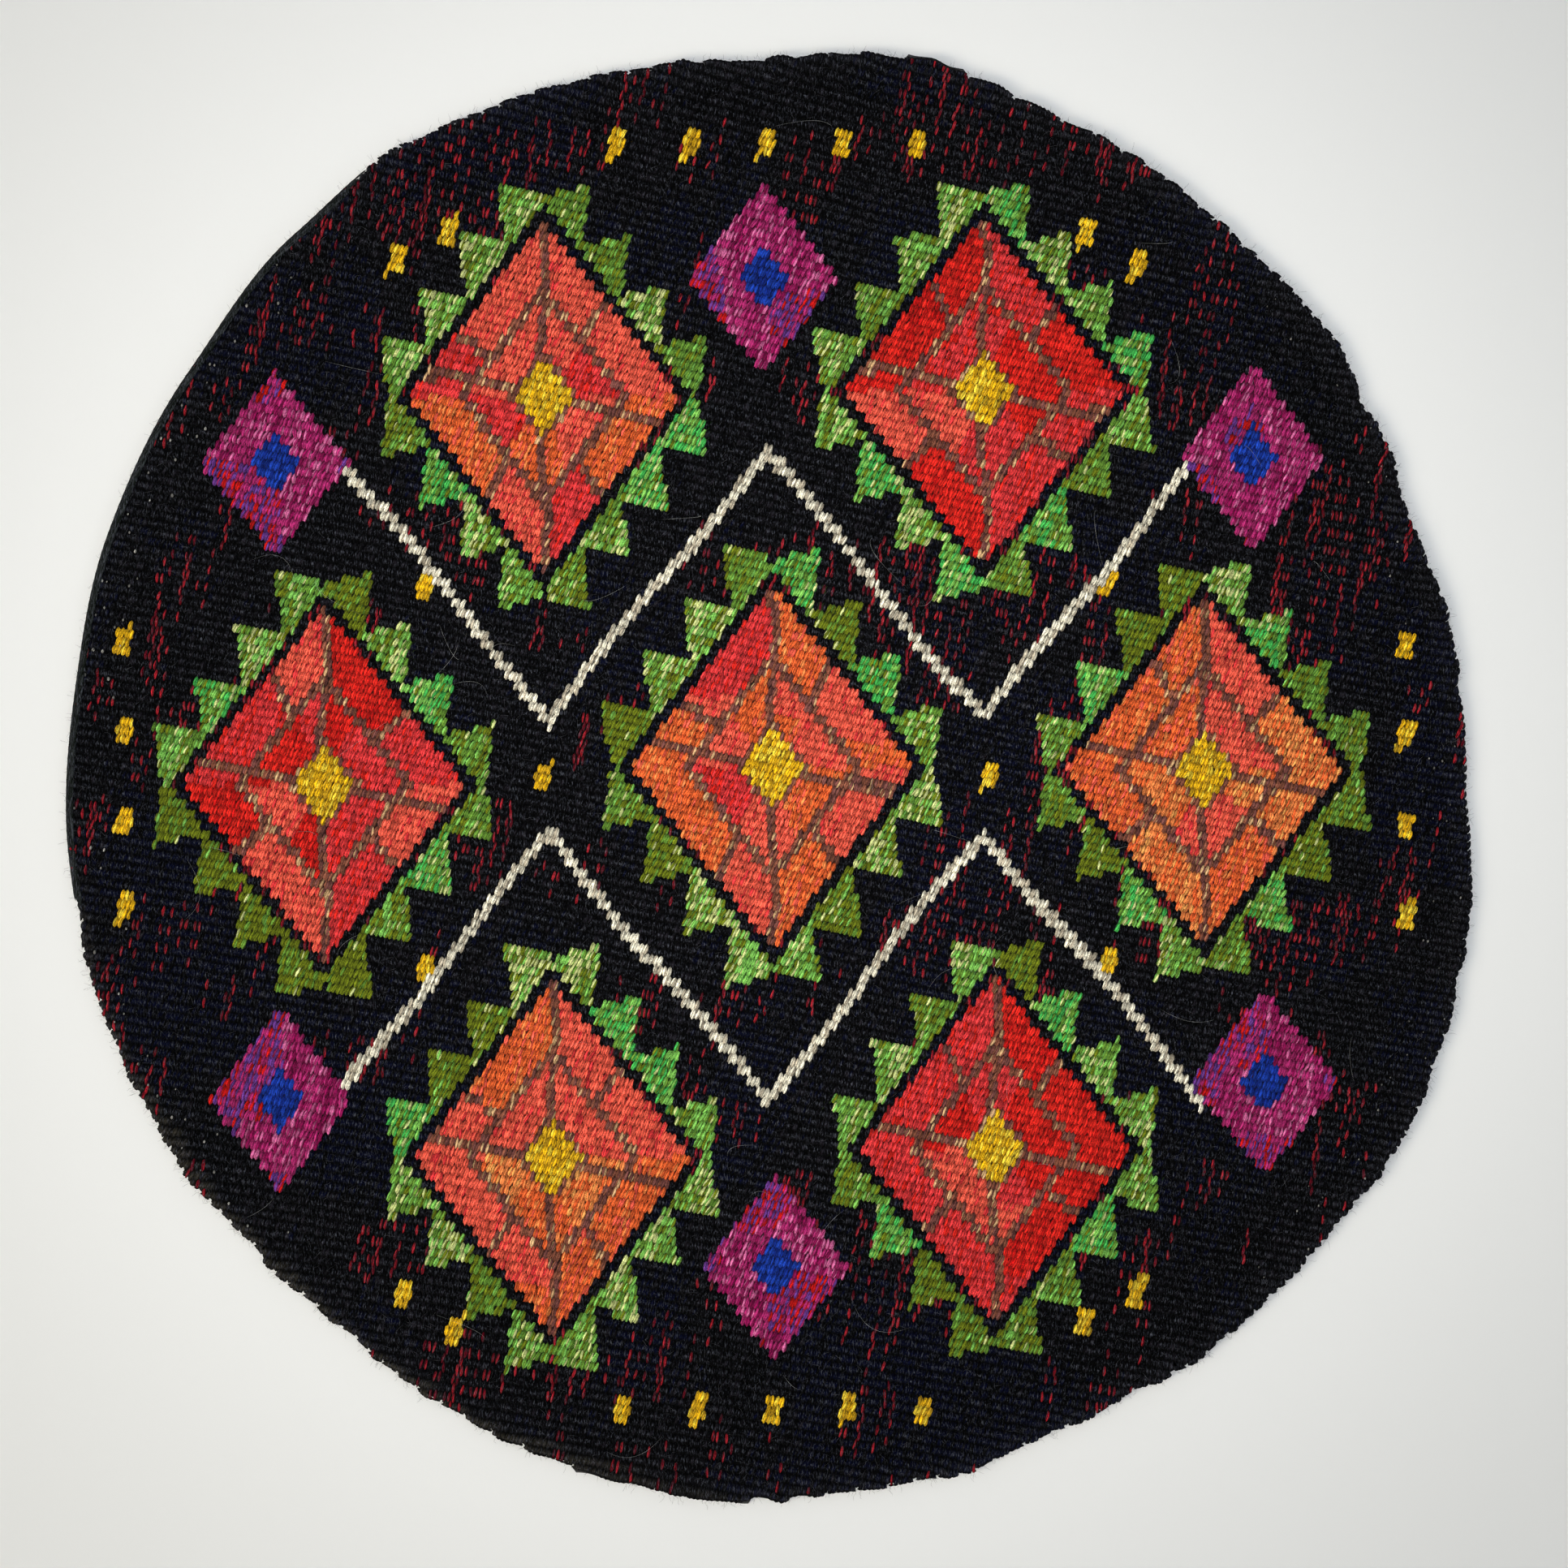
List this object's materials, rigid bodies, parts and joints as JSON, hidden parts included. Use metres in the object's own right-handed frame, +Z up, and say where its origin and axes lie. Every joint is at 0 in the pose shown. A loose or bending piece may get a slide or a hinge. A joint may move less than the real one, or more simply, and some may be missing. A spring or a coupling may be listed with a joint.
{
  "type": "round woven tapestry",
  "caption": "Round hand-woven wool tapestry with raised warp ribs and a rolled edge, lying flat and face up.",
  "frame": {"origin": "on the surface that the tapestry lies on, under the middle of its box", "axes": "+X to the right of the face, +Y towards the top of the design, +Z up out of the face"},
  "size_m": [0.486, 0.501, 0.0045],
  "materials": {
    "wool_weave": "matt wool yarn"
  },
  "bodies": {
    "root": {"woven_cloth": "wool_weave"}
  },
  "joints": []
}
